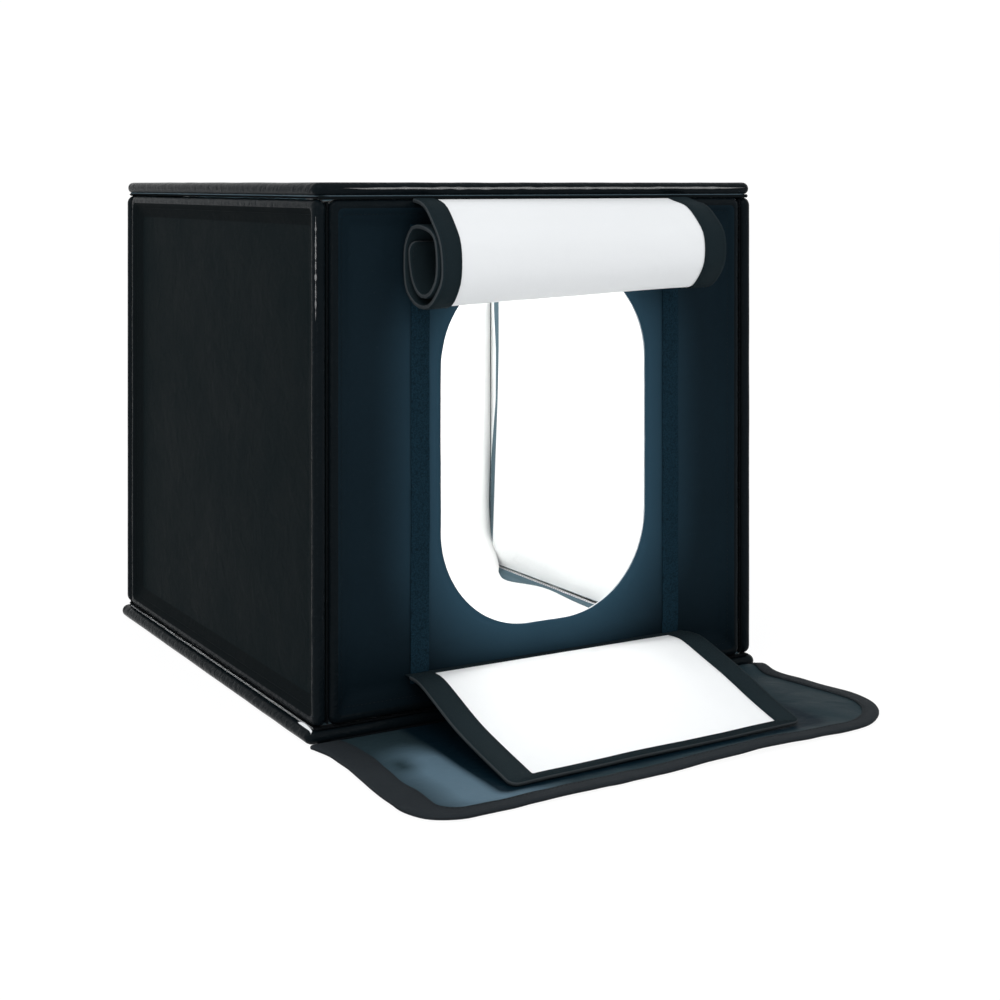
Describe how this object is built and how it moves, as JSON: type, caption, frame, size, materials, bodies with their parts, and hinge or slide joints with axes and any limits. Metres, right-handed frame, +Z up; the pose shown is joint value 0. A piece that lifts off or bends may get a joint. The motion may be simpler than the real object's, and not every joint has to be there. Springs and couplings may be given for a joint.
{
  "type": "light tent cube",
  "caption": "Open black folding cube with a white inside, a round-cornered front window, a rolled upper flap, a lowered lower flap and a closure flap lying in front.",
  "frame": {"origin": "centre of the cube's underside, on the table", "axes": "+Z up, +Y from the window towards the back wall, +X to the viewer's right"},
  "size_m": [0.4247, 0.5641, 0.3999],
  "materials": {
    "coated_cloth": "black coated cloth with a low sheen",
    "woven_tape": "black woven binding and hook tape",
    "seam_cord": "black glossy piping",
    "white_lining": "white reflecting lining",
    "white_sheet": "matte white sheet",
    "stiffening_board": "hollow plastic board",
    "frame_rod": "black fibreglass rod",
    "bar_aluminium": "anodised extrusion",
    "light_strip": "white circuit strip with yellow light chips",
    "moulded_plastic": "black moulded plastic"
  },
  "bodies": {
    "bottom": {"bottom_wall_base": "coated_cloth", "bottom_wall_cover": "coated_cloth", "bottom_wall_frame": "frame_rod", "bottom_wall_board": "stiffening_board", "bottom_wall_lining": "white_lining", "bottom_back_cord": "seam_cord", "bottom_seam_tape": "woven_tape", "closure_flap_seam_tape": "woven_tape"},
    "back": {"back_wall_cover": "coated_cloth", "back_wall_frame": "frame_rod", "back_wall_board": "stiffening_board", "back_wall_lining": "white_lining", "top_back_cord": "seam_cord", "back_left_cord": "seam_cord", "back_right_cord": "seam_cord", "backdrop_sheet": "white_sheet", "backdrop_hook_tape": "woven_tape"},
    "left_wall": {"left_wall_cover": "coated_cloth", "left_wall_frame": "frame_rod", "left_wall_board": "stiffening_board", "left_wall_lining": "white_lining"},
    "right_wall": {"right_wall_cover": "coated_cloth", "right_wall_frame": "frame_rod", "right_wall_board": "stiffening_board", "right_wall_lining": "white_lining"},
    "top": {"top_wall_cover": "coated_cloth", "top_wall_frame": "frame_rod", "top_wall_board": "stiffening_board", "top_wall_lining": "white_lining", "top_front_cord": "seam_cord", "top_seam_left_tape": "woven_tape", "top_seam_right_tape": "woven_tape", "top_port_hook_ring": "woven_tape", "front_bar_left_bracket": "moulded_plastic", "front_bar_right_bracket": "moulded_plastic", "rear_bar_left_bracket": "moulded_plastic", "rear_bar_right_bracket": "moulded_plastic"},
    "front": {"front_wall_cover": "coated_cloth", "front_wall_frame": "frame_rod", "front_wall_lining": "white_lining", "window_left_loop_tape": "woven_tape", "window_right_loop_tape": "woven_tape", "front_seam_left_tape": "woven_tape", "front_seam_right_tape": "woven_tape", "lower_flap_root_tape": "woven_tape"},
    "upper_flap": {"upper_flap_sheet": "white_sheet", "upper_flap_edge_tape": "woven_tape"},
    "lower_flap": {"lower_flap_sheet": "white_sheet", "lower_flap_edge_tape": "woven_tape"},
    "closure_flap": {"closure_flap_sheet": "coated_cloth", "closure_flap_hem": "woven_tape"},
    "port_lid": {"top_port_lid": "coated_cloth"},
    "front_light_bar": {"front_bar_channel": "bar_aluminium", "front_bar_strip": "light_strip", "front_bar_left_cap": "moulded_plastic", "front_bar_right_cap": "moulded_plastic"},
    "rear_light_bar": {"rear_bar_channel": "bar_aluminium", "rear_bar_strip": "light_strip", "rear_bar_left_cap": "moulded_plastic", "rear_bar_right_cap": "moulded_plastic"}
  },
  "joints": [
    {"name": "back_wall_fold", "type": "hinge", "parent": "bottom", "child": "back", "pos_m": [0, 0.198, 0.011], "axis": [-1, 0, 0], "range_deg": [0, 90]},
    {"name": "left_wall_fold", "type": "hinge", "parent": "back", "child": "left_wall", "pos_m": [-0.198, 0.189, 0.2], "axis": [0, 0, -1], "range_deg": [0, 90]},
    {"name": "right_wall_fold", "type": "hinge", "parent": "back", "child": "right_wall", "pos_m": [0.198, 0.189, 0.2], "axis": [0, 0, 1], "range_deg": [0, 90]},
    {"name": "top_wall_lift", "type": "hinge", "parent": "back", "child": "top", "pos_m": [0, 0.198, 0.389], "axis": [-1, 0, 0], "range_deg": [0, 90]},
    {"name": "front_wall_swing", "type": "hinge", "parent": "top", "child": "front", "pos_m": [0, -0.198, 0.389], "axis": [-1, 0, 0], "range_deg": [0, 60]},
    {"name": "upper_flap_swing", "type": "hinge", "parent": "front", "child": "upper_flap", "pos_m": [0, -0.2002, 0.3869], "axis": [-1, 0, 0], "range_deg": [0, 30]},
    {"name": "lower_flap_fold", "type": "hinge", "parent": "front", "child": "lower_flap", "pos_m": [0, -0.2003, 0.0397], "axis": [-1, 0, 0], "range_deg": [0, 96]},
    {"name": "closure_flap_fold", "type": "hinge", "parent": "bottom", "child": "closure_flap", "pos_m": [0, -0.2031, 0.0017], "axis": [-1, 0, 0], "range_deg": [0, 82]},
    {"name": "port_lid_lift", "type": "hinge", "parent": "top", "child": "port_lid", "pos_m": [0, 0.073, 0.397], "axis": [-1, 0, 0], "range_deg": [0, 150]},
    {"name": "front_light_bar_tilt", "type": "hinge", "parent": "top", "child": "front_light_bar", "pos_m": [0, -0.14, 0.374], "axis": [1, 0, 0], "range_deg": [-15, 45]},
    {"name": "rear_light_bar_tilt", "type": "hinge", "parent": "top", "child": "rear_light_bar", "pos_m": [0, 0.11, 0.374], "axis": [1, 0, 0], "range_deg": [-45, 15]}
  ],
  "couplings": [
    {"joint": "lower_flap_fold", "follows": "closure_flap_fold", "ratio": 1.17}
  ]
}
